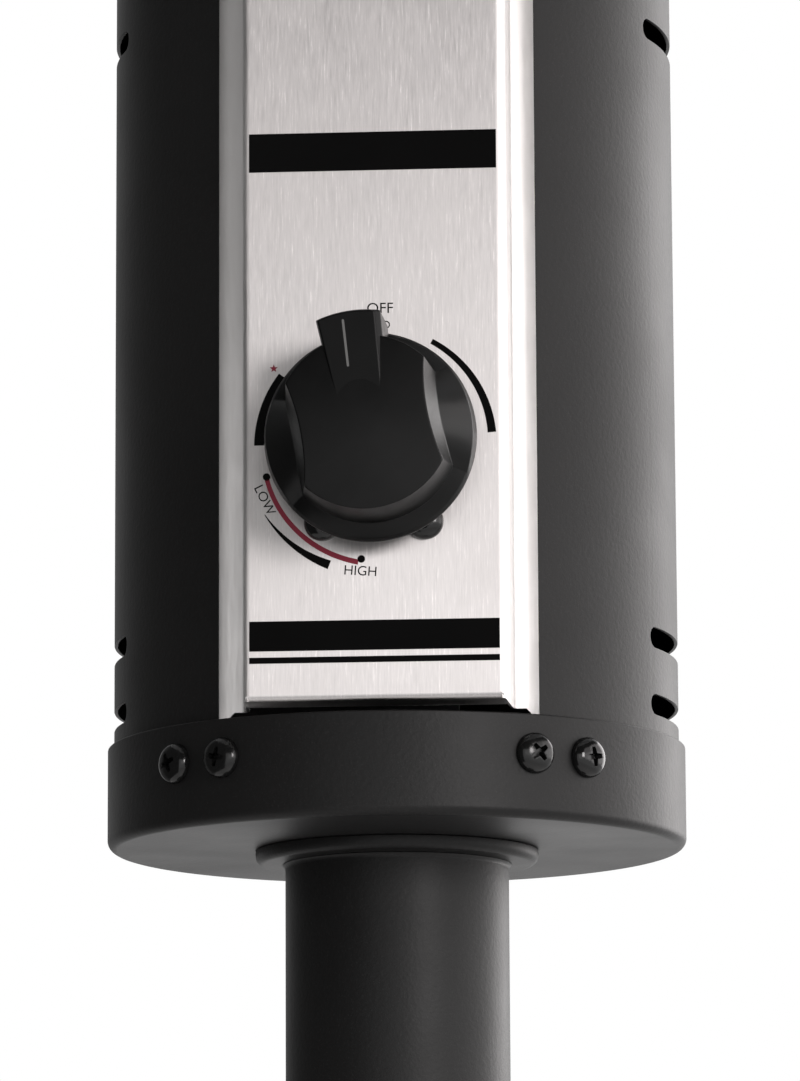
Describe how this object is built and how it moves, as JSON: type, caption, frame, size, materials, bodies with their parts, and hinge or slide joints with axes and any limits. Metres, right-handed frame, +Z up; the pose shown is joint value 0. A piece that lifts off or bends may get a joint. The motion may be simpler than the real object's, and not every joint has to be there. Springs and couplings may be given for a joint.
{
  "type": "patio heater",
  "caption": "Tall free-standing gas patio heater: round wheeled base, lift-up bottle housing, slim post, black control head with steel panel and push-turn knob, emitter and wide reflector.",
  "frame": {"origin": "centre of the base pan's footprint on the floor", "axes": "+Z up along the post, -Y out of the control panel towards the user, +X to the user's right"},
  "size_m": [0.8129, 0.813, 2.1912],
  "materials": {
    "black_powder_coat": "black powder coat, fine matte texture",
    "head_black": "matte black powder coat",
    "stainless_panel": "stainless steel, vertical brushed grain",
    "stainless": "stainless steel, satin",
    "screen_steel": "perforated stainless steel, heat tinted",
    "aluminium_sheet": "spun aluminium, satin",
    "aluminium_cast": "die-cast aluminium",
    "zinc_steel": "zinc-plated steel",
    "brass": "turned brass",
    "copper": "copper capillary",
    "black_plastic": "black plastic, satin",
    "white_plastic": "white plastic inlay",
    "rubber": "black rubber",
    "wheel_plastic": "black moulded plastic",
    "black_screw": "black oxide steel",
    "ceramic": "glazed ceramic insulator",
    "lead_sheath": "silicone sheath"
  },
  "bodies": {
    "stand": {"base_pan": "black_powder_coat", "leg_back": "black_powder_coat", "leg_left": "black_powder_coat", "leg_right": "black_powder_coat", "leg_foot_bolts": "zinc_steel", "leg_foot_nuts": "zinc_steel", "leg_post_bolts": "zinc_steel", "leg_post_nuts": "zinc_steel", "wheel_bracket": "black_powder_coat", "wheel_axle": "zinc_steel", "axle_caps": "wheel_plastic", "post": "black_powder_coat", "post_collar": "black_powder_coat", "collar_screws": "zinc_steel", "head_base_cap": "head_black", "cap_screws": "black_screw", "head_shell": "head_black", "control_panel": "stainless_panel", "head_top_cap": "head_black", "top_cap_screws": "black_screw", "valve_body": "aluminium_cast", "valve_bracket": "zinc_steel", "valve_screws": "black_screw", "gas_inlet": "brass", "outlet_elbow": "brass", "gas_jet": "brass", "mixer_tube": "stainless", "pilot_tube": "aluminium_cast", "thermocouple": "copper", "piezo_igniter": "black_plastic", "ignition_lead": "lead_sheath", "tilt_switch": "black_plastic", "burner_dish": "stainless", "dish_screws": "zinc_steel", "burner_head": "stainless", "pilot_bracket": "zinc_steel", "pilot_burner": "brass", "spark_electrode": "ceramic", "emitter_screen": "screen_steel", "emitter_top_plate": "stainless", "reflector_studs": "zinc_steel", "stud_nuts": "zinc_steel", "reflector_panel_1": "aluminium_sheet", "reflector_panel_2": "aluminium_sheet", "reflector_panel_3": "aluminium_sheet", "reflector_seams": "aluminium_sheet", "reflector_hub": "aluminium_sheet", "wing_nuts": "zinc_steel", "seam_bolts": "zinc_steel", "seam_nuts": "zinc_steel"},
    "plunger": {"valve_plunger": "brass"},
    "knob": {"control_knob": "black_plastic", "knob_index": "white_plastic", "valve_stem": "zinc_steel"},
    "housing": {"bottle_housing": "black_powder_coat", "housing_lid": "black_powder_coat", "lid_rivets": "black_powder_coat", "lid_grommet": "rubber"},
    "left_wheel": {"wheel_left": "wheel_plastic"},
    "right_wheel": {"wheel_right": "wheel_plastic"}
  },
  "joints": [
    {"name": "knob_push", "type": "slide", "parent": "stand", "child": "plunger", "axis": [0, 1, 0], "range_m": [0, 0.004], "stiffness_N_per_m": 900},
    {"name": "knob_turn", "type": "hinge", "parent": "plunger", "child": "knob", "pos_m": [0, -0.0773, 1.6964], "axis": [0, -1, 0], "range_deg": [-14, 158]},
    {"name": "housing_lift", "type": "slide", "parent": "stand", "child": "housing", "axis": [0, 0, 1], "range_m": [0, 0.6]},
    {"name": "left_wheel_spin", "type": "hinge", "parent": "stand", "child": "left_wheel", "pos_m": [-0.083, 0.263, 0.037], "axis": [1, 0, 0], "continuous": true},
    {"name": "right_wheel_spin", "type": "hinge", "parent": "stand", "child": "right_wheel", "pos_m": [0.083, 0.263, 0.037], "axis": [1, 0, 0], "continuous": true}
  ]
}
